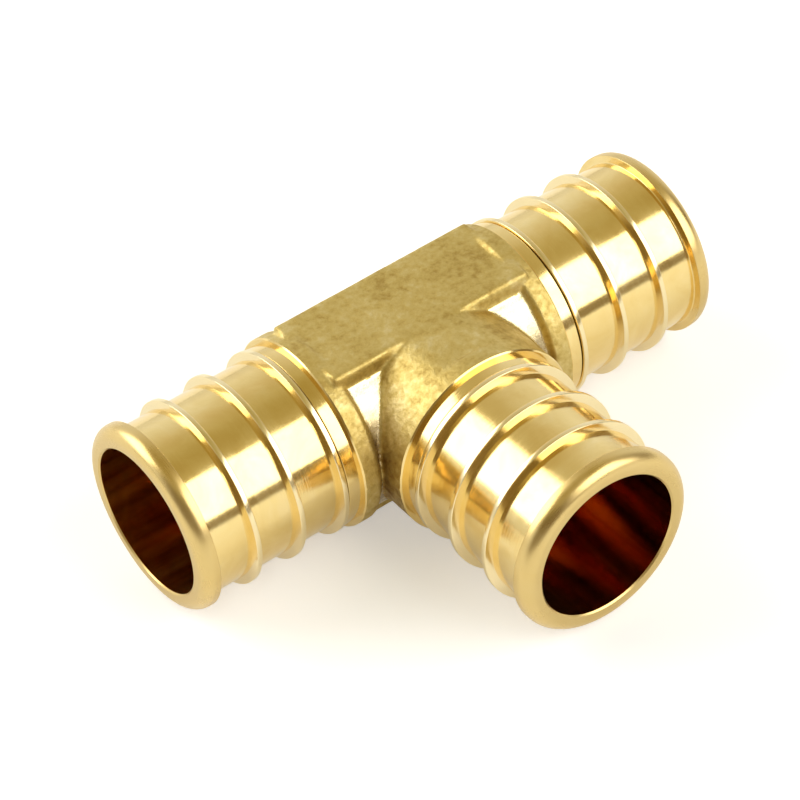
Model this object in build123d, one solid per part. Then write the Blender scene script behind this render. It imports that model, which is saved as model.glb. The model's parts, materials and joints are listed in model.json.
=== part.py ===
from build123d import *
import os
from math import cos, radians, sin

# One-piece brass tee for 3/4 in PEX pipe, hot forged, then turned and bored at its three ends.
# Each barb takes a pipe end, and a crimp ring outside the pipe squeezes it onto the ribs.
# Origin: where the axis of the run meets the axis of the branch.
# +X lies along the run, the branch points along -Y, and +Z is square to the flat pads.
# All sizes are in millimetres.

# Turned barb
insert_length = 15.9  # mouth to the collar that stops the pipe
bore_radius = 6.7
root_radius = 7.8  # lands between the ribs
rib_radius = 8.52  # crests of the ribs and of the nose
rib_count = 3
rib_width = 0.75
rib_pitch = 4.4
rib_to_collar = 1.3  # land between the last rib and the collar
rib_slope = 0.12  # how far each flank of a rib leans
nose_round = 1.15  # radius of the lead-in, from the flat lip up to full size
nose_turns = 3  # short cones that the lead-in is turned in
nose_crest = 0.45  # full-size length behind the lead-in
mouth_chamfer = 0.15

# Forged body
barrel_radius = 8.3  # round body between the collars of the run
collar_radius = 8.85
collar_width = 2.0
collar_bevel = 0.4  # turned edge that faces the pipe
collar_slope = 0.35  # how far the flank that faces the body leans
run_neck = 0.15  # between the side of the branch and each collar of the run
branch_neck = 0.5  # between the side of the run and the collar of the branch
pad_rise = 0.25  # height of each flat pad above the crown of the barrel
pad_half_width = 4.4
pad_round = 0.6  # rounded edges of the pads
pad_foot_round = 0.4  # fillet where a pad stands on the barrel
crotch_round = 1.0  # fillet where the branch leaves the run

touching = 0.01  # closest that two places can be and still count as apart

# From the centre to each pad, and to each mouth
pad_height = barrel_radius + pad_rise
run_reach = collar_radius + run_neck + collar_width + insert_length
branch_reach = barrel_radius + branch_neck + collar_width + insert_length

os.makedirs("parts", exist_ok=True)


def rib_flanks():
    """Distances from the mouth to the two flanks of each rib, from the mouth inwards."""
    last = insert_length - rib_to_collar
    spans = []
    for index in reversed(range(rib_count)):
        inner = last - index * rib_pitch
        spans.append((inner - rib_width, inner))
    return spans


def nose_outline():
    """Corners of the rounded lead-in and the full-size crest behind it."""
    lip_radius = rib_radius - nose_round
    corners = []
    for index in range(nose_turns + 1):
        angle = radians(90 * index / nose_turns)
        corners.append((nose_round * (1 - cos(angle)), lip_radius + nose_round * sin(angle)))
    crest_end = nose_round + nose_crest
    return corners + [(crest_end, rib_radius), (crest_end, root_radius)]


def rib_outline():
    """Corners of the ribs, which stand on the land behind the nose."""
    corners = []
    for start, end in rib_flanks():
        corners += [
            (start, root_radius),
            (start + rib_slope, rib_radius),
            (end - rib_slope, rib_radius),
            (end, root_radius),
        ]
    return corners


def collar_outline():
    """Corners of the collar: a turned bevel towards the pipe, a leaning flank towards the body."""
    back = insert_length + collar_width
    return [
        (insert_length, root_radius),
        (insert_length, collar_radius - collar_bevel),
        (insert_length + collar_bevel, collar_radius),
        (back - collar_slope, collar_radius),
        (back, root_radius),
    ]


def port_section():
    """Half section of one port, each corner a (distance from the mouth, radius) pair."""
    corners = nose_outline() + rib_outline() + collar_outline()
    back = insert_length + collar_width
    return make_face(Polyline(*corners, (back, 0), (0, 0), close=True))


def port(reach, turn):
    """One turned port, still solid, as far as its collar; its mouth faces -X before the turn."""
    blank = revolve(port_section(), Axis.X)
    return Rot(0, 0, turn) * Pos(-reach, 0, 0) * blank


def barrel(radius, reach, turn):
    """Round forged body of one port, from the centre out to the middle of its collar."""
    length = reach - insert_length - collar_width / 2
    half = Pos(-length / 2, 0, 0) * Rot(0, 90, 0) * Cylinder(radius, length)
    return Rot(0, 0, turn) * half


def forged_body():
    """Barrels and flat pads; the branch is as thick as its collar, and flush with the pads."""
    pad_length = 2 * (run_reach - insert_length) - collar_width
    block = Box(pad_length, 2 * pad_half_width, 2 * pad_height)
    block = fillet(block.edges().filter_by(Axis.X), pad_round)
    branch = barrel(collar_radius, branch_reach, 90)
    branch &= Box(4 * collar_radius, 4 * collar_radius, 2 * pad_height)
    body = barrel(barrel_radius, run_reach, 0) + barrel(barrel_radius, run_reach, 180)
    body += branch + block

    crotch = [edge for edge in body.edges() if follows_crotch(edge)]
    body = fillet(crotch, crotch_round)

    feet = [edge for edge in body.edges().filter_by(Axis.X) if is_pad_foot(edge)]
    return fillet(feet, pad_foot_round)


def follows_crotch(edge):
    """True on the two curves where the side of the branch meets the run."""
    middle = edge @ 0.5
    beside_branch = abs(abs(middle.X) - collar_radius) < touching
    return beside_branch and abs(middle.Y + barrel_radius) < touching


def is_pad_foot(edge):
    """True where the side of a pad stands on the barrel."""
    middle = edge @ 0.5
    on_side = abs(abs(middle.Y) - pad_half_width) < touching
    return on_side and abs(middle.Z) < pad_height - pad_round - touching


def bore(reach, turn):
    """Straight waterway from the centre out of one mouth, with a broken edge at the mouth."""
    hole = Pos(-reach / 2, 0, 0) * Rot(0, 90, 0) * Cylinder(bore_radius, reach)
    mouth = Pos(-reach + mouth_chamfer / 2, 0, 0) * Rot(0, 90, 0) * Cone(
        bore_radius + mouth_chamfer, bore_radius, mouth_chamfer
    )
    return Rot(0, 0, turn) * (hole + mouth)


ports = [(run_reach, 0), (run_reach, 180), (branch_reach, 90)]

tee_body = forged_body()
for reach, turn in ports:
    tee_body += port(reach, turn)
for reach, turn in ports:
    tee_body -= bore(reach, turn)

export_step(tee_body, "parts/tee_body.step")
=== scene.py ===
import json
import math

import bmesh
import bpy
from mathutils import Matrix, Vector, noise


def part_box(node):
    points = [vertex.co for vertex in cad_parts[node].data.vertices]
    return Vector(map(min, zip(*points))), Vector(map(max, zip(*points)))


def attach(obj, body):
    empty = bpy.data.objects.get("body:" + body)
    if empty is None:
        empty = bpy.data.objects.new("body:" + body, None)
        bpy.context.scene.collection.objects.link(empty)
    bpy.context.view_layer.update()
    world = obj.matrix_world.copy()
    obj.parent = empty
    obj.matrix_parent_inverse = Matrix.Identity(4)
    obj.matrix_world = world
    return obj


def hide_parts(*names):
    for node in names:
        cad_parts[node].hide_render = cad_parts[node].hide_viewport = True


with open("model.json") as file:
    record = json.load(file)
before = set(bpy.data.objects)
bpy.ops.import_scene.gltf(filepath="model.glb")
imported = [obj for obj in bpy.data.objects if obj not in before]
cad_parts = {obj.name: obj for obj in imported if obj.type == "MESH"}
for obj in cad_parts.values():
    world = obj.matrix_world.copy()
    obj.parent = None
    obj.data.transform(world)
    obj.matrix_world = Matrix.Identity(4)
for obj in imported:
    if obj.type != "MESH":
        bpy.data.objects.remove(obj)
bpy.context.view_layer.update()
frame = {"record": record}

# ---------------------------------------------------------------- sizes
MM = 0.001
low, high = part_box("tee_body")
mounts = {mount["name"]: mount for mount in frame["record"]["mounts"]}

run_reach = high[0]  # centre to each mouth of the run
branch_reach = -low[1]  # centre to the mouth of the branch
collar_radius = high[2]
bore_radius = mounts["run_bore"]["dims"]["r_mm"] * MM
rib_radius = mounts["run_barb_left"]["dims"]["r_mm"] * MM

# Turned barbs
insert_length = 15.9 * MM  # mouth to the shoulder that stops the pipe
root_radius = 7.8 * MM  # lands between the ribs
nose_round = 1.15 * MM
nose_crest = 0.45 * MM
mouth_chamfer = 0.15 * MM
edge_break = 0.06 * MM  # what a touch of the tool leaves on a corner
rib_count = 3
rib_pitch = 4.4 * MM
rib_foot = 0.72 * MM
rib_crest = 0.46 * MM
rib_to_collar = 1.3 * MM
rib_edge = 0.07 * MM
step_radius = 8.36 * MM  # raised step between the last rib and the shoulder
sleeve_tail = 1.4 * MM  # how far a barb's own wall runs on inside the forging
turned_steps = 224  # sides that a turned circle is drawn with
bored_steps = 192
forged_steps = 160

# Forged body
barrel_radius = 8.3 * MM
collar_width = 2.0 * MM
collar_edge = 0.12 * MM  # broken edge between the turned shoulder and the forged skin
collar_slope = 0.35 * MM
collar_stock = 1.2 * MM  # forged in front of the shoulder, then turned away
pad_height = 8.55 * MM
pad_half_width = 4.4 * MM
pad_round = 0.45 * MM
crown_blend = 0.16 * MM  # how softly the flat on the branch runs into its round sides
grain_cell = 0.16 * MM  # size of the facets that carry the forged skin
skin_passes = 7  # rounds of softening that turn the hard corners into die radii
parting_rise = 0.05 * MM
parting_width = 0.13 * MM

# Each port: where its mouth is, and the turn from -X to the way that its mouth faces
PORTS = {
    "left": (run_reach, 0),
    "right": (run_reach, 180),
    "branch": (branch_reach, 90),
}


def port_place(port):
    """Takes a barb drawn with its mouth at the origin, facing -X, to its place on the tee."""
    reach, turn = PORTS[port]
    return Matrix.Rotation(math.radians(turn), 4, "Z") @ Matrix.Translation((-reach, 0, 0))


# ---------------------------------------------------------------- material helpers
def new_material(name):
    material = bpy.data.materials.new(name)
    material.use_nodes = True
    material.node_tree.nodes.clear()
    return material


class Nodes:
    """Short spellings for building a node tree."""

    def __init__(self, tree):
        self.tree = tree

    def add(self, kind, **values):
        node = self.tree.nodes.new(kind)
        for name, value in values.items():
            setattr(node, name, value)
        return node

    def join(self, source, target):
        self.tree.links.new(source, target)

    def feed(self, socket, value):
        """Puts a number, a colour or another node's output on a socket."""
        if isinstance(value, bpy.types.NodeSocket):
            self.join(value, socket)
        else:
            socket.default_value = value

    def object_place(self, stretch=(1, 1, 1)):
        where = self.add("ShaderNodeTexCoord")
        mapping = self.add("ShaderNodeMapping")
        mapping.inputs["Scale"].default_value = stretch
        self.join(where.outputs["Object"], mapping.inputs["Vector"])
        return mapping.outputs["Vector"]

    def grain(self, place, per_metre, detail=4.0, roughness=0.55, distortion=0.0):
        noise_node = self.add("ShaderNodeTexNoise")
        self.join(place, noise_node.inputs["Vector"])
        noise_node.inputs["Scale"].default_value = per_metre
        noise_node.inputs["Detail"].default_value = detail
        noise_node.inputs["Roughness"].default_value = roughness
        noise_node.inputs["Distortion"].default_value = distortion
        return noise_node.outputs["Fac"]

    def ramp(self, value, stops):
        node = self.add("ShaderNodeValToRGB")
        self.join(value, node.inputs["Fac"])
        points = node.color_ramp.elements
        while len(points) < len(stops):
            points.new(0.5)
        for point, (at, colour) in zip(points, stops):
            point.position = at
            point.color = (*colour, 1)
        return node.outputs["Color"]

    def span(self, value, low_in, high_in, low_out, high_out):
        node = self.add("ShaderNodeMapRange")
        self.feed(node.inputs["Value"], value)
        for name, number in (
            ("From Min", low_in),
            ("From Max", high_in),
            ("To Min", low_out),
            ("To Max", high_out),
        ):
            self.feed(node.inputs[name], number)
        return node.outputs["Result"]

    def sum(self, first, second, operation="ADD"):
        node = self.add("ShaderNodeMath", operation=operation)
        self.feed(node.inputs[0], first)
        self.feed(node.inputs[1], second)
        return node.outputs["Value"]

    def blend(self, share, first, second):
        """One colour turning into another; either may be given as plain numbers."""
        node = self.add("ShaderNodeMix", data_type="RGBA")
        colours = [socket for socket in node.inputs if socket.type == "RGBA"]
        self.feed(node.inputs["Factor"], share)
        self.feed(colours[0], first)
        self.feed(colours[1], second)
        return next(socket for socket in node.outputs if socket.type == "RGBA")

    def bump(self, height, depth, strength=1.0, under=None):
        node = self.add("ShaderNodeBump")
        node.inputs["Strength"].default_value = strength
        node.inputs["Distance"].default_value = depth
        self.join(height, node.inputs["Height"])
        if under is not None:
            self.join(under, node.inputs["Normal"])
        return node.outputs["Normal"]

    def metal(self, colour, roughness, normal=None):
        shader = self.add("ShaderNodeBsdfPrincipled")
        shader.inputs["Metallic"].default_value = 1.0
        self.feed(shader.inputs["Base Color"], colour)
        self.feed(shader.inputs["Roughness"], roughness)
        if normal is not None:
            self.join(normal, shader.inputs["Normal"])
        out = self.add("ShaderNodeOutputMaterial")
        self.join(shader.outputs["BSDF"], out.inputs["Surface"])
        return shader


# ---------------------------------------------------------------- materials
RUBBED_AND_SHADED = (0.68, 0.50, 0.20)  # darker tone of the noses: painted shade for the dark surroundings that they reflect, on brass dulled by handling
CREST_HIGHLIGHT = (0.93, 0.81, 0.52)  # paler tone on the thin crests: painted highlight


def turned_brass(name, along, rough_low=0.09, rough_high=0.16, tone=RUBBED_AND_SHADED, share=0.0):
    """Bright brass off the lathe: fine rings of the tool across the axis, faint clouding;
    share is how far the colour goes over to another tone."""
    material = new_material(name)
    nodes = Nodes(material.node_tree)
    squeeze = (1.0, 0.02, 0.02) if along == "X" else (0.02, 1.0, 0.02)
    rings = nodes.grain(nodes.object_place(squeeze), 9000, detail=3.0)
    clouds = nodes.grain(nodes.object_place(), 260, detail=5.0, distortion=0.6)
    fine = nodes.grain(nodes.object_place(), 2600, detail=3.0)
    colour = nodes.ramp(
        clouds, [(0.30, (0.83, 0.61, 0.23)), (0.55, (0.89, 0.69, 0.30)), (0.75, (0.92, 0.74, 0.37))]
    )
    colour = nodes.blend(share, colour, (*tone, 1))
    cloudy = nodes.span(clouds, 0.3, 0.7, rough_low, rough_high)
    rough = nodes.sum(cloudy, nodes.span(rings, 0.3, 0.7, -0.02, 0.03))
    normal = nodes.bump(rings, 0.0035 * MM)
    normal = nodes.bump(fine, 0.002 * MM, under=normal)
    nodes.metal(colour, rough, normal)
    return material


def crotch_depth(nodes):
    """Where the painted shade falls: 1 in the two corners between the branch and the run,
    falling to 0 on the open skin; less on the side of the run than on the side of the branch."""
    where = nodes.add("ShaderNodeSeparateXYZ")
    nodes.join(nodes.object_place(), where.inputs["Vector"])
    along = nodes.sum(nodes.sum(where.outputs["X"], 0.0, "ABSOLUTE"), collar_radius, "SUBTRACT")
    across = nodes.sum(nodes.sum(where.outputs["Y"], -barrel_radius, "SUBTRACT"), 0.75, "MULTIPLY")
    away = nodes.sum(nodes.sum(along, 2.0, "POWER"), nodes.sum(across, 2.0, "POWER"))
    close = nodes.span(nodes.sum(away, 0.5, "POWER"), 0.3 * MM, 4.6 * MM, 1.0, 0.0)
    height = nodes.sum(where.outputs["Z"], 0.0, "ABSOLUTE")
    close = nodes.sum(close, nodes.span(height, 1.5 * MM, 6.8 * MM, 1.0, 0.0), "MULTIPLY")
    return nodes.sum(close, nodes.span(along, 0.0, 0.4 * MM, 1.0, 0.08), "MULTIPLY")


def forged_brass(name, rough_low=0.40, rough_high=0.58, pale=0.0):
    """Skin left by the die and cleaned by blasting: grainy, tan, browner in pits; darkened in the
    corners between the branch and the run by painted shade.
    """
    material = new_material(name)
    nodes = Nodes(material.node_tree)
    place = nodes.object_place()
    grit = nodes.grain(place, 3600, detail=4.0, roughness=0.6)
    pits = nodes.grain(place, 1500, detail=6.0, roughness=0.65)
    clouds = nodes.grain(place, 210, detail=5.0, distortion=0.4)
    mixed = nodes.sum(nodes.sum(clouds, 0.5, "MULTIPLY"), nodes.sum(pits, 0.5, "MULTIPLY"))
    skin = nodes.ramp(
        mixed,
        [
            (0.38, (0.47, 0.33, 0.095)),
            (0.47, (0.61, 0.465, 0.155)),
            (0.55, (0.67, 0.53, 0.205)),
            (0.66, (0.77, 0.64, 0.32)),
        ],
    )
    # painted shade: the corners between branch and run are darkened to dark brown, broken up by the
    # pits
    crotch_shade = nodes.sum(crotch_depth(nodes), nodes.span(pits, 0.3, 0.7, 1.0, 0.45), "MULTIPLY")
    # pale blend: painted highlight for the front softbox that the flat sides face
    skin = nodes.blend(pale, skin, (0.86, 0.76, 0.50, 1))
    colour = nodes.blend(crotch_shade, skin, (0.20, 0.095, 0.018, 1))
    rough = nodes.span(pits, 0.3, 0.7, rough_high, rough_low)
    normal = nodes.bump(pits, 0.075 * MM, 0.9 - 0.5 * pale)
    normal = nodes.bump(grit, 0.03 * MM, 0.9 - 0.5 * pale, under=normal)
    nodes.metal(colour, rough, normal)
    return material


def bore_brass(name, along, dark, light):
    """Inside of the waterway: reamed smooth, red-brown as painted reflection of light bounced
    inside it, streaked along its length.
    """
    material = new_material(name)
    nodes = Nodes(material.node_tree)
    stretch = (0.06, 1.0, 1.0) if along == "X" else (1.0, 0.06, 1.0)
    streaks = nodes.grain(nodes.object_place(stretch), 900, detail=4.0, distortion=0.3)
    clouds = nodes.grain(nodes.object_place(), 300, detail=4.0, distortion=0.5)
    mixed = nodes.sum(nodes.sum(clouds, 0.4, "MULTIPLY"), nodes.sum(streaks, 0.6, "MULTIPLY"))
    colour = nodes.ramp(mixed, [(0.38, dark), (0.62, light)])
    rough = nodes.span(mixed, 0.35, 0.65, 0.13, 0.24)
    nodes.metal(colour, rough, nodes.bump(streaks, 0.008 * MM))
    return material


TURNED_RUN = turned_brass("turned brass, rings across the run", "X")
TURNED_BRANCH = turned_brass("turned brass, rings across the branch", "Y")
# The noses: rougher rubbed finish, and a darker tone that is painted shade.
NOSE_RUN = turned_brass("rubbed brass of the run noses, painted shade", "X", 0.24, 0.34, RUBBED_AND_SHADED, 0.7)
NOSE_BRANCH = turned_brass("rubbed brass of the branch nose, painted shade", "Y", 0.24, 0.34, RUBBED_AND_SHADED, 0.7)
# The rib crests are blended toward a pale tone: painted highlight.
CREST_RUN = turned_brass("turned brass of the run ribs", "X", 0.12, 0.20, CREST_HIGHLIGHT, 0.7)
CREST_BRANCH = turned_brass("turned brass of the branch ribs", "Y", 0.12, 0.20, CREST_HIGHLIGHT, 0.7)
FORGED = forged_brass("forged brass skin")
# The flat sides of the run: smoother skin, and a pale tone that is painted highlight.
STRUCK_WITH_HIGHLIGHT = forged_brass("forged brass struck smooth, painted highlight", 0.20, 0.32, 0.7)
# The red-brown is painted reflection of light bounced in the bore; the branch bore's darker tone is
# painted shade.
BORED_RUN = bore_brass(
    "bored brass of the run, painted reflection", "X", (0.72, 0.28, 0.030), (0.90, 0.55, 0.16)
)
BORED_BRANCH = bore_brass(
    "bored brass of the branch, painted shade", "Y", (0.44, 0.13, 0.014), (0.62, 0.27, 0.052)
)


# ---------------------------------------------------------------- mesh helpers
def finished(name, mesh, soft_below=35):
    """A piece of the tee: put in the scene, smooth-shaded except at real corners."""
    piece = bpy.data.objects.new(name, mesh)
    bpy.context.scene.collection.objects.link(piece)
    mesh.shade_smooth()
    mesh.set_sharp_from_angle(angle=math.radians(soft_below))
    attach(piece, "root")
    return piece


def outward(bm):
    bmesh.ops.remove_doubles(bm, verts=bm.verts, dist=1e-7)
    bmesh.ops.recalc_face_normals(bm, faces=bm.faces)


def rounded(corners, steps=5):
    """Rounds a closed outline: each corner is (distance, radius from the axis, rounding)."""
    outline = []
    for index, (x, y, size) in enumerate(corners):
        here = Vector((x, y))
        before = Vector(corners[index - 1][:2]) - here
        after = Vector(corners[(index + 1) % len(corners)][:2]) - here
        if size <= 0:
            outline.append(here)
            continue
        half = before.angle(after) / 2
        back = size / math.tan(half)
        start, end = here + before.normalized() * back, here + after.normalized() * back
        middle = here + (before.normalized() + after.normalized()).normalized() * (
            size / math.sin(half)
        )
        first, last = start - middle, end - middle
        sweep = first.angle_signed(last)
        for step in range(steps + 1):
            turn = Matrix.Rotation(-sweep * step / steps, 2)
            outline.append(middle + turn @ first)
    return outline


def revolved(outline, steps=turned_steps):
    """Spins a closed outline of (distance, radius) points round the X axis."""
    bm = bmesh.new()
    rings = []
    for step in range(steps):
        angle = 2 * math.pi * step / steps
        across, up = math.cos(angle), math.sin(angle)
        rings.append([bm.verts.new((x, radius * across, radius * up)) for x, radius in outline])
    for index, ring in enumerate(rings):
        following = rings[(index + 1) % steps]
        for corner in range(len(outline)):
            other = (corner + 1) % len(outline)
            bm.faces.new((ring[corner], ring[other], following[other], following[corner]))
    outward(bm)
    return bm


# ---------------------------------------------------------------- turned barbs
def barb_outline():
    """Section of a barb without its ribs: lip, rounded nose, undercut, land and bored wall."""
    tail = insert_length + sleeve_tail
    lip_radius = rib_radius - nose_round
    crest_end = nose_round + nose_crest
    return rounded(
        [
            (mouth_chamfer, bore_radius, 0.03 * MM),
            (0, bore_radius + mouth_chamfer, edge_break),
            (0, lip_radius, 0),
            (0, rib_radius, nose_round),
            (crest_end, rib_radius, edge_break),
            (crest_end + 0.05 * MM, root_radius, 0.12 * MM),
            (insert_length - rib_to_collar, root_radius, 0),
            (insert_length - rib_to_collar, step_radius, edge_break),
            (insert_length + 0.1 * MM, step_radius, 0),
            (insert_length + 0.1 * MM, root_radius, 0),
            (tail, root_radius, 0),
            (tail, bore_radius, 0),
        ],
        steps=10,
    )


def barb(port, metals):
    """One barb; metals are the finishes of its lands, its nose and its bore."""
    bm = revolved([(p[0], p[1]) for p in barb_outline()])
    for face in bm.faces:
        centre = face.calc_center_median()
        if math.hypot(centre.y, centre.z) < bore_radius + 0.02 * MM:
            face.material_index = 2
        elif centre.x < nose_round + nose_crest:
            face.material_index = 1
    bm.transform(port_place(port))
    mesh = bpy.data.meshes.new(port + " barb")
    for metal in metals:
        mesh.materials.append(metal)
    bm.to_mesh(mesh)
    bm.free()
    return finished(port + "_barb", mesh)


def rib_tree():
    """Ribs of one barb: a ring of a rounded, tapered section, repeated along the axis."""
    tree = bpy.data.node_groups.new("barb ribs", "GeometryNodeTree")
    face = tree.interface
    face.new_socket("Geometry", in_out="OUTPUT", socket_type="NodeSocketGeometry")
    sockets = {}
    for name, kind in (
        ("Ribs", "NodeSocketInt"),
        ("Pitch", "NodeSocketFloat"),
        ("First rib", "NodeSocketFloat"),
        ("Land radius", "NodeSocketFloat"),
        ("Crest radius", "NodeSocketFloat"),
        ("Foot width", "NodeSocketFloat"),
        ("Crest width", "NodeSocketFloat"),
        ("Edge rounding", "NodeSocketFloat"),
        ("Sides", "NodeSocketInt"),
        ("Metal", "NodeSocketMaterial"),
    ):
        sockets[name] = face.new_socket(name, in_out="INPUT", socket_type=kind).identifier
    nodes = Nodes(tree)
    given = nodes.add("NodeGroupInput").outputs
    out = nodes.add("NodeGroupOutput")

    def math_of(operation, first, second):
        node = nodes.add("ShaderNodeMath", operation=operation)
        nodes.feed(node.inputs[0], first)
        nodes.feed(node.inputs[1], second)
        return node.outputs["Value"]

    # The section stands from under the land up to the crest, so it is drawn about its middle.
    rise = math_of("SUBTRACT", given["Crest radius"], given["Land radius"])
    sunk = math_of("SUBTRACT", given["Land radius"], rise)
    height = math_of("SUBTRACT", given["Crest radius"], sunk)
    middle = math_of("MULTIPLY", math_of("ADD", given["Crest radius"], sunk), 0.5)
    lean = math_of("SUBTRACT", given["Foot width"], given["Crest width"])
    section = nodes.add("GeometryNodeCurvePrimitiveQuadrilateral", mode="TRAPEZOID")
    nodes.join(math_of("ADD", given["Foot width"], lean), section.inputs["Bottom Width"])
    nodes.join(given["Crest width"], section.inputs["Top Width"])
    nodes.join(height, section.inputs["Height"])
    section.inputs["Offset"].default_value = 0
    soft = nodes.add("GeometryNodeFilletCurve", mode="POLY")
    nodes.join(section.outputs["Curve"], soft.inputs["Curve"])
    nodes.join(given["Edge rounding"], soft.inputs["Radius"])
    soft.inputs["Count"].default_value = 6
    stood = nodes.add("GeometryNodeTransform")
    nodes.join(soft.outputs["Curve"], stood.inputs["Geometry"])
    stood.inputs["Rotation"].default_value = (0, 0, -math.pi / 2)
    circle = nodes.add("GeometryNodeCurvePrimitiveCircle", mode="RADIUS")
    nodes.join(given["Sides"], circle.inputs["Resolution"])
    nodes.join(middle, circle.inputs["Radius"])
    ring = nodes.add("GeometryNodeCurveToMesh")
    nodes.join(circle.outputs["Curve"], ring.inputs["Curve"])
    nodes.join(stood.outputs["Geometry"], ring.inputs["Profile Curve"])

    stations = nodes.add("GeometryNodeMeshLine", mode="OFFSET")
    nodes.join(given["Ribs"], stations.inputs["Count"])
    start = nodes.add("ShaderNodeCombineXYZ")
    nodes.join(given["First rib"], start.inputs["X"])
    step = nodes.add("ShaderNodeCombineXYZ")
    nodes.join(given["Pitch"], step.inputs["X"])
    nodes.join(start.outputs["Vector"], stations.inputs["Start Location"])
    nodes.join(step.outputs["Vector"], stations.inputs["Offset"])
    repeated = nodes.add("GeometryNodeInstanceOnPoints")
    nodes.join(stations.outputs["Mesh"], repeated.inputs["Points"])
    nodes.join(ring.outputs["Mesh"], repeated.inputs["Instance"])
    repeated.inputs["Rotation"].default_value = (0, math.pi / 2, 0)
    real = nodes.add("GeometryNodeRealizeInstances")
    nodes.join(repeated.outputs["Instances"], real.inputs["Geometry"])
    dressed = nodes.add("GeometryNodeSetMaterial")
    nodes.join(real.outputs["Geometry"], dressed.inputs["Geometry"])
    nodes.join(given["Metal"], dressed.inputs["Material"])
    nodes.join(dressed.outputs["Geometry"], out.inputs["Geometry"])
    return tree, sockets


def made_plain(holder):
    """The evaluated mesh of an object with live modifiers; the object itself is thrown away."""
    bpy.context.view_layer.update()
    ready = holder.evaluated_get(bpy.context.evaluated_depsgraph_get())
    mesh = bpy.data.meshes.new_from_object(ready)
    bpy.data.objects.remove(holder)
    return mesh


def ribs(port, material, tree, sockets):
    holder = bpy.data.objects.new(port + " ribs", bpy.data.meshes.new(port + " ribs"))
    bpy.context.scene.collection.objects.link(holder)
    modifier = holder.modifiers.new("ribs", "NODES")
    modifier.node_group = tree
    last = insert_length - rib_to_collar - rib_foot / 2
    for name, value in (
        ("Ribs", rib_count),
        ("Pitch", rib_pitch),
        ("First rib", last - (rib_count - 1) * rib_pitch),
        ("Land radius", root_radius),
        ("Crest radius", rib_radius),
        ("Foot width", rib_foot),
        ("Crest width", rib_crest),
        ("Edge rounding", rib_edge),
        ("Sides", turned_steps),
        ("Metal", material),
    ):
        modifier[sockets[name]] = value
    mesh = made_plain(holder)
    bm = bmesh.new()
    bm.from_mesh(mesh)
    bm.transform(port_place(port))
    outward(bm)
    bm.to_mesh(mesh)
    bm.free()
    return finished(port + "_ribs", mesh)


# ---------------------------------------------------------------- forged body
def rod(radius, start, end, port, steps=forged_steps):
    """A plain round bar on a port's axis, between two distances from the mouth."""
    bm = bmesh.new()
    bmesh.ops.create_cone(
        bm, cap_ends=True, segments=steps, radius1=radius, radius2=radius, depth=end - start
    )
    laid = Matrix.Rotation(math.pi / 2, 4, "Y")
    bm.transform(Matrix.Translation(((start + end) / 2, 0, 0)) @ laid)
    bm.transform(port_place(port))
    return bm


def as_mesh(bm, name):
    mesh = bpy.data.meshes.new(name)
    bm.to_mesh(mesh)
    bm.free()
    return mesh


def heap(parts, name):
    """Several closed shapes in one mesh, overlapping, ready to be fused."""
    whole = bmesh.new()
    for part in parts:
        mesh = as_mesh(part, "part")
        whole.from_mesh(mesh)
        bpy.data.meshes.remove(mesh)
    return as_mesh(whole, name)


def flattened(height):
    """Height of a round side after the flat at pad height has been struck on it."""
    over = (height - pad_height) / crown_blend
    return height - crown_blend * math.log1p(math.exp(over))


def forging_blank():
    """Everything that the die shapes: barrels, collars and pads, as solid bars and a block."""
    back = insert_length + collar_width
    front = insert_length - collar_stock
    parts = []
    for port, (reach, turn) in PORTS.items():
        radius = collar_radius if port == "branch" else barrel_radius
        barrel = rod(radius, front, reach, port)
        for corner in barrel.verts:
            corner.co.z = math.copysign(flattened(abs(corner.co.z)), corner.co.z)
        parts.append(barrel)
        collar = revolved(
            rounded(
                [
                    (front, 0.5 * MM, 0),
                    (front, collar_radius, 0),
                    (back - collar_slope, collar_radius, 0.25 * MM),
                    (back, root_radius, 0),
                    (back, 0.5 * MM, 0),
                ]
            ),
            forged_steps,
        )
        collar.transform(port_place(port))
        parts.append(collar)
    block = bmesh.new()
    bmesh.ops.create_cube(block, size=1)
    pad_length = 2 * (run_reach - insert_length - collar_width / 2)
    block.transform(Matrix.Diagonal((pad_length, 2 * pad_half_width, 2 * pad_height, 1)))
    along = [edge for edge in block.edges if abs(edge.verts[0].co.x - edge.verts[1].co.x) > MM]
    bmesh.ops.bevel(block, geom=along, offset=pad_round, segments=4, profile=0.5, affect="EDGES")
    parts.append(block)
    return heap(parts, "forging")


def skin_height(co, normal):
    """How far the forged skin stands above the smooth shape at a place."""
    broad = noise.noise(co / (2.6 * MM)) * 0.030 * MM
    middling = noise.noise(co / (0.9 * MM) + Vector((7, 3, 5))) * 0.014 * MM
    fine = noise.noise(co / (0.38 * MM) + Vector((1, 9, 2))) * 0.008 * MM
    flat = abs(normal.z) ** 6  # the pads and crowns come out of the die smoother
    rise = (broad + middling + fine) * (1 - 0.6 * flat)
    seam = math.exp(-((co.z - 0.05 * MM) / parting_width) ** 2) * (1 - abs(normal.z)) ** 2
    wander = 0.75 + 0.5 * noise.noise(co / (1.7 * MM))
    return rise + seam * parting_rise * wander


def cut_away(body, parts, name):
    """Cuts closed shapes out of the body."""
    tool = bpy.data.objects.new(name, heap(parts, name))
    bpy.context.scene.collection.objects.link(tool)
    modifier = body.modifiers.new(name, "BOOLEAN")
    modifier.operation = "DIFFERENCE"
    modifier.solver = "MANIFOLD"
    modifier.object = tool
    return tool


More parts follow.
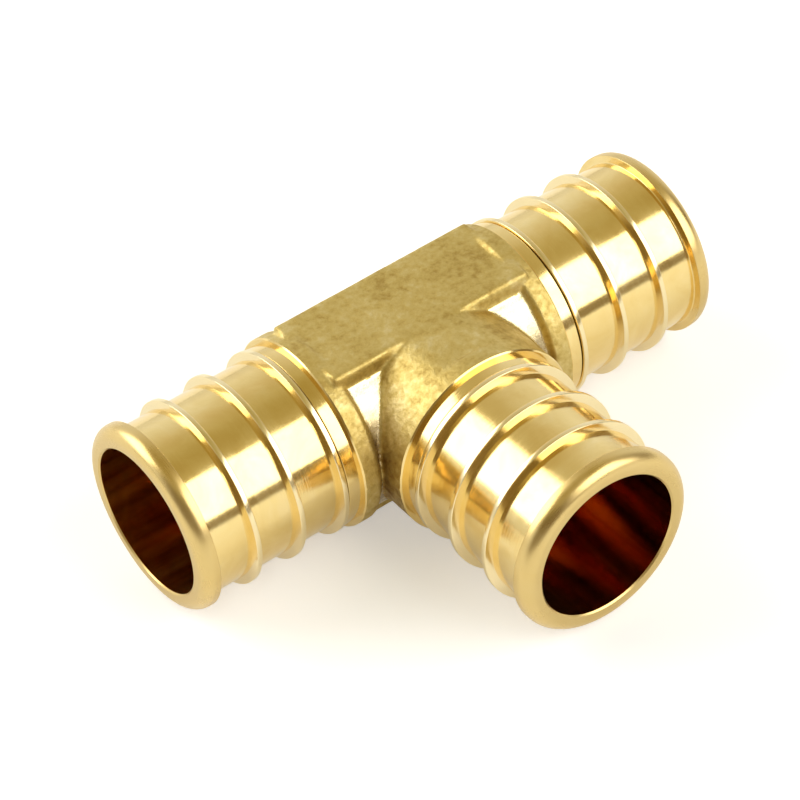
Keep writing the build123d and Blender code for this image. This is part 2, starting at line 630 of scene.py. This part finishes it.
def forged_body():
    holder = bpy.data.objects.new("forging", forging_blank())
    bpy.context.scene.collection.objects.link(holder)
    fuse = holder.modifiers.new("fuse", "REMESH")
    fuse.mode = "VOXEL"
    fuse.voxel_size = grain_cell
    soften = holder.modifiers.new("soften", "SMOOTH")
    soften.factor = 0.5
    soften.iterations = skin_passes
    skin = made_plain(holder)
    raised = [v.co + v.normal * skin_height(v.co, v.normal) for v in skin.vertices]
    skin.vertices.foreach_set("co", [number for place in raised for number in place])
    skin.update()

    body = bpy.data.objects.new("forged body", skin)
    bpy.context.scene.collection.objects.link(body)
    tools = []
    for port, (reach, turn) in PORTS.items():
        clear, wide = -1 * MM, collar_radius + 2 * MM
        shoulder = revolved(
            [
                (clear, root_radius - 0.3 * MM),
                (insert_length, root_radius - 0.3 * MM),
                (insert_length, collar_radius - collar_edge),
                (insert_length + collar_edge + 1 * MM, collar_radius + 1 * MM),
                (insert_length + collar_edge + 1 * MM, wide),
                (clear, wide),
            ]
        )
        shoulder.transform(port_place(port))
        tools.append(cut_away(body, [shoulder], port + " shoulder"))
        past = 0.5 * MM if turn != 90 else 0  # the two halves of the run's bore overlap
        hole = rod(bore_radius + 0.04 * MM, -1 * MM, reach + past, port, bored_steps)
        tools.append(cut_away(body, [hole], port + " bore"))
    mesh = made_plain(body)
    for tool in tools:
        bpy.data.objects.remove(tool)

    mesh.materials.clear()
    for material in (FORGED, TURNED_RUN, TURNED_BRANCH, BORED_RUN, BORED_BRANCH, STRUCK_WITH_HIGHLIGHT):
        mesh.materials.append(material)
    for face in mesh.polygons:
        face.material_index = body_finish(face.center, face.normal)
    return finished("forged_body", mesh, soft_below=32)


def body_finish(place, normal):
    """Which finish a face of the forging has: bored, turned at its ends, or as forged."""
    from_run, from_branch = math.hypot(place.y, place.z), math.hypot(place.x, place.z)
    near = bore_radius + 0.2 * MM
    if from_run < near and place.y > -near:
        return 3
    if from_branch < near and place.y < 0:
        return 4
    turned = insert_length + collar_edge + 0.1 * MM
    if abs(place.x) > run_reach - turned and abs(normal.x) > 0.55:
        return 1
    if -place.y > branch_reach - turned and abs(normal.y) > 0.55:
        return 2
    faces_out = (normal.y * place.y + normal.z * place.z) / from_run
    if abs(from_run - barrel_radius) < 0.14 * MM and faces_out > 0.95:
        return 5
    return 0


# ---------------------------------------------------------------- the tee
body = forged_body()
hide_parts("tee_body")
rings, ring_sockets = rib_tree()
for port in PORTS:
    metals, crest = (TURNED_RUN, NOSE_RUN, BORED_RUN), CREST_RUN
    if port == "branch":
        metals, crest = (TURNED_BRANCH, NOSE_BRANCH, BORED_BRANCH), CREST_BRANCH
    barb(port, metals)
    ribs(port, crest, rings, ring_sockets)


# ---------------------------------------------------------------- studio
def direction(azimuth, elevation):
    azimuth, elevation = math.radians(azimuth), math.radians(elevation)
    level = math.cos(elevation)
    return Vector((level * math.cos(azimuth), level * math.sin(azimuth), math.sin(elevation)))


def softbox(name, azimuth, elevation, width, height, glow, distance=0.7):
    """A soft light of even brightness that faces the tee."""
    lamp = bpy.data.lights.new(name, "AREA")
    lamp.shape = "RECTANGLE"
    lamp.size, lamp.size_y = width, height
    lamp.energy = glow * math.pi * width * height
    holder = bpy.data.objects.new(name, lamp)
    bpy.context.scene.collection.objects.link(holder)
    towards = direction(azimuth, elevation)
    holder.location = towards * distance
    holder.rotation_euler = towards.to_track_quat("Z", "Y").to_euler()
    return holder


def studio_world():
    world = bpy.data.worlds.new("studio")
    bpy.context.scene.world = world
    world.use_nodes = True
    world.node_tree.nodes.clear()
    nodes = Nodes(world.node_tree)
    where = nodes.add("ShaderNodeTexCoord")
    split = nodes.add("ShaderNodeSeparateXYZ")
    nodes.join(where.outputs["Generated"], split.inputs["Vector"])
    ceiling = [(0.68, (0.72, 0.66, 0.52)), (0.80, (0.61, 0.54, 0.35))]
    overhead = [(0.87, (0.57, 0.50, 0.29)), (0.93, (0.45, 0.365, 0.15))]
    back_wall = nodes.ramp(
        split.outputs["Z"],
        [(0.0, (0.82, 0.80, 0.74)), (0.28, (0.93, 0.93, 0.92)), (0.47, (0.84, 0.82, 0.76))]
        + ceiling
        + overhead,
    )
    front_wall = nodes.ramp(
        split.outputs["Z"],
        [
            (0.0, (0.30, 0.24, 0.15)),
            (0.17, (0.27, 0.21, 0.13)),
            (0.60, (0.24, 0.19, 0.10)),
            (0.80, (0.50, 0.43, 0.24)),
            *overhead,
        ],
    )
    backward = nodes.span(split.outputs["Y"], -0.15, 0.30, 0.0, 1.0)
    room = nodes.add("ShaderNodeBackground")
    nodes.join(nodes.blend(backward, front_wall, back_wall), room.inputs["Color"])
    plain = nodes.add("ShaderNodeBackground")
    plain.inputs["Color"].default_value = (1, 1, 1, 1)
    path = nodes.add("ShaderNodeLightPath")
    mix = nodes.add("ShaderNodeMixShader")
    nodes.join(path.outputs["Is Camera Ray"], mix.inputs["Fac"])
    nodes.join(room.outputs["Background"], mix.inputs[1])
    nodes.join(plain.outputs["Background"], mix.inputs[2])
    out = nodes.add("ShaderNodeOutputWorld")
    nodes.join(mix.outputs["Shader"], out.inputs["Surface"])


def studio_floor():
    bm = bmesh.new()
    bmesh.ops.create_grid(bm, x_segments=1, y_segments=1, size=3)
    bm.transform(Matrix.Translation((0, 0, low[2])))
    floor = bpy.data.objects.new("floor", as_mesh(bm, "floor"))
    bpy.context.scene.collection.objects.link(floor)
    material = new_material("white sweep")
    nodes = Nodes(material.node_tree)
    paper = nodes.add("ShaderNodeBsdfDiffuse")
    paper.inputs["Color"].default_value = (0.82, 0.84, 0.88, 1)
    lift = nodes.add("ShaderNodeEmission")
    path = nodes.add("ShaderNodeLightPath")
    seen = nodes.sum(path.outputs["Is Camera Ray"], 0.42, "MULTIPLY")
    mirrored = nodes.sum(path.outputs["Is Glossy Ray"], 0.19, "MULTIPLY")
    nodes.join(nodes.sum(seen, mirrored), lift.inputs["Strength"])
    both = nodes.add("ShaderNodeAddShader")
    nodes.join(paper.outputs["BSDF"], both.inputs[0])
    nodes.join(lift.outputs["Emission"], both.inputs[1])
    out = nodes.add("ShaderNodeOutputMaterial")
    nodes.join(both.outputs["Shader"], out.inputs["Surface"])
    floor.data.materials.append(material)


studio_world()
studio_floor()
softbox("front softbox", -58, 35, 0.66, 0.60, 2.9)
softbox("left softbox", 128, 35, 0.60, 0.50, 2.9)

# ---------------------------------------------------------------- camera
scene = bpy.context.scene
scene.view_settings.view_transform = "Standard"

lens = bpy.data.cameras.new("camera")
lens.sensor_width = 36
lens.lens = 156
lens.clip_start = 0.01
camera = bpy.data.objects.new("camera", lens)
scene.collection.objects.link(camera)
camera.location = (-0.11939, -0.17806, 0.20058)
camera.rotation_euler = [math.radians(angle) for angle in (46.374, 3.696, -37.142)]
scene.camera = camera
